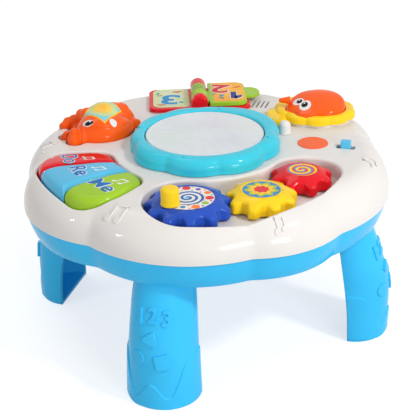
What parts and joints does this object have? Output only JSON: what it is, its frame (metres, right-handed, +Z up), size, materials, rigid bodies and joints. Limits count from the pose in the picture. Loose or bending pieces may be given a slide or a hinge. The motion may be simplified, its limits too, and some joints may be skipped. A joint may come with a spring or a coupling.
{
  "type": "musical activity table",
  "caption": "Low round play table on channel legs, with domed music keys, meshing gears, a drum, a turning book page, a slide switch and animal-shaped press pieces.",
  "frame": {"origin": "on the floor, under the middle of the table's box", "axes": "+Z up, -Y towards the leg under the gears, +X towards the leg beside the slide switch"},
  "size_m": [0.3076, 0.3076, 0.1691],
  "materials": {
    "white_plastic": "glossy, warm white",
    "sky_plastic": "glossy sky blue",
    "turquoise_plastic": "glossy turquoise",
    "pearl_plastic": "pearly, translucent grey white",
    "orange_plastic": "glossy orange",
    "yellow_plastic": "glossy yellow",
    "red_plastic": "glossy red",
    "green_plastic": "glossy lime green",
    "light_blue_plastic": "glossy light blue",
    "deep_blue_plastic": "glossy deep blue",
    "dark_plastic": "matte black",
    "board": "green coated laminate",
    "pad_rubber": "soft black rubber",
    "steel": "zinc plated steel"
  },
  "bodies": {
    "table": {"top_shell": "white_plastic", "light_dish": "white_plastic", "white_post": "white_plastic", "base_shell": "sky_plastic", "leg_front": "sky_plastic", "leg_right": "sky_plastic", "leg_back": "sky_plastic", "leg_left": "sky_plastic", "battery_door": "sky_plastic", "drum_bezel": "turquoise_plastic", "badge_plate": "orange_plastic", "lion_body": "yellow_plastic", "book_base": "red_plastic", "led_red": "red_plastic", "led_green": "green_plastic", "led_blue": "light_blue_plastic", "battery_1": "dark_plastic", "battery_2": "dark_plastic", "battery_3": "dark_plastic", "speaker": "dark_plastic", "switch_body": "dark_plastic", "circuit_board": "board", "key_board": "board", "key_pads": "pad_rubber", "battery_contact_left": "steel", "battery_contact_right": "steel", "battery_door_screw": "steel", "bezel_screw_a": "steel", "bezel_screw_b": "steel", "bezel_screw_c": "steel", "book_pin": "steel", "book_screw_left": "steel", "book_screw_right": "steel", "drum_spring": "steel", "elephant_spring": "steel", "key_rod": "steel", "key_spring_blue": "steel", "key_spring_green": "steel", "key_spring_red": "steel", "lion_spring": "steel", "shell_screw_back_left": "steel", "shell_screw_back_right": "steel", "shell_screw_left": "steel", "shell_screw_right": "steel", "shell_screw_under_gears": "steel"},
    "drum": {"drum_disc": "pearl_plastic"},
    "key_red": {"key_red": "red_plastic"},
    "key_blue": {"key_blue": "light_blue_plastic"},
    "key_green": {"key_green": "green_plastic"},
    "gear_blue": {"gear_blue": "deep_blue_plastic", "gear_knob": "yellow_plastic", "gear_screw_blue": "steel"},
    "gear_yellow": {"gear_yellow": "yellow_plastic", "gear_screw_yellow": "steel"},
    "gear_red": {"gear_red": "red_plastic", "gear_screw_red": "steel"},
    "book_page": {"book_page": "green_plastic"},
    "switch_slider": {"switch_slider": "light_blue_plastic"},
    "elephant": {"elephant_button": "orange_plastic"},
    "lion_head": {"lion_head": "orange_plastic"}
  },
  "joints": [
    {"name": "drum_press", "type": "slide", "parent": "table", "child": "drum", "axis": [0, 0, -1], "range_m": [0, 0.0025], "stiffness_N_per_m": 400, "springref_m": -0.002, "deforming": ["drum_spring"]},
    {"name": "key_red_press", "type": "hinge", "parent": "table", "child": "key_red", "pos_m": [-0.05692, -0.05692, 0.141], "axis": [0.7071, -0.7071, 0], "range_deg": [0, 3.5], "stiffness_Nm_per_rad": 0.3, "springref_deg": -5.73},
    {"name": "key_blue_press", "type": "hinge", "parent": "table", "child": "key_blue", "pos_m": [-0.05692, -0.05692, 0.141], "axis": [0.7071, -0.7071, 0], "range_deg": [0, 3.5], "stiffness_Nm_per_rad": 0.3, "springref_deg": -5.73},
    {"name": "key_green_press", "type": "hinge", "parent": "table", "child": "key_green", "pos_m": [-0.05692, -0.05692, 0.141], "axis": [0.7071, -0.7071, 0], "range_deg": [0, 3.5], "stiffness_Nm_per_rad": 0.3, "springref_deg": -5.73},
    {"name": "gear_blue_spin", "type": "hinge", "parent": "table", "child": "gear_blue", "pos_m": [0.0145, -0.0985, 0.1365], "axis": [0, 0, 1], "continuous": true},
    {"name": "gear_yellow_spin", "type": "hinge", "parent": "table", "child": "gear_yellow", "pos_m": [0.06311, -0.07276, 0.1365], "axis": [0, 0, 1], "continuous": true},
    {"name": "gear_red_spin", "type": "hinge", "parent": "table", "child": "gear_red", "pos_m": [0.08498, -0.03145, 0.1365], "axis": [0, 0, 1], "continuous": true},
    {"name": "book_page_turn", "type": "hinge", "parent": "table", "child": "book_page", "pos_m": [-0.03157, 0.09489, 0.1575], "axis": [0.3156, -0.9489, 0], "range_deg": [0, 180]},
    {"name": "switch_slide", "type": "slide", "parent": "table", "child": "switch_slider", "axis": [1, 0, 0], "range_m": [-0.003, 0.003]},
    {"name": "elephant_press", "type": "slide", "parent": "table", "child": "elephant", "axis": [0, 0, -1], "range_m": [0, 0.003], "stiffness_N_per_m": 500, "springref_m": -0.002, "deforming": ["elephant_spring"]},
    {"name": "lion_head_press", "type": "slide", "parent": "table", "child": "lion_head", "axis": [0, 0, -1], "range_m": [0, 0.003], "stiffness_N_per_m": 400, "springref_m": -0.002, "deforming": ["lion_spring"]}
  ],
  "couplings": [
    {"joint": "gear_yellow_spin", "follows": "gear_blue_spin", "ratio": -1.2222},
    {"joint": "gear_red_spin", "follows": "gear_blue_spin", "ratio": 1.375}
  ]
}
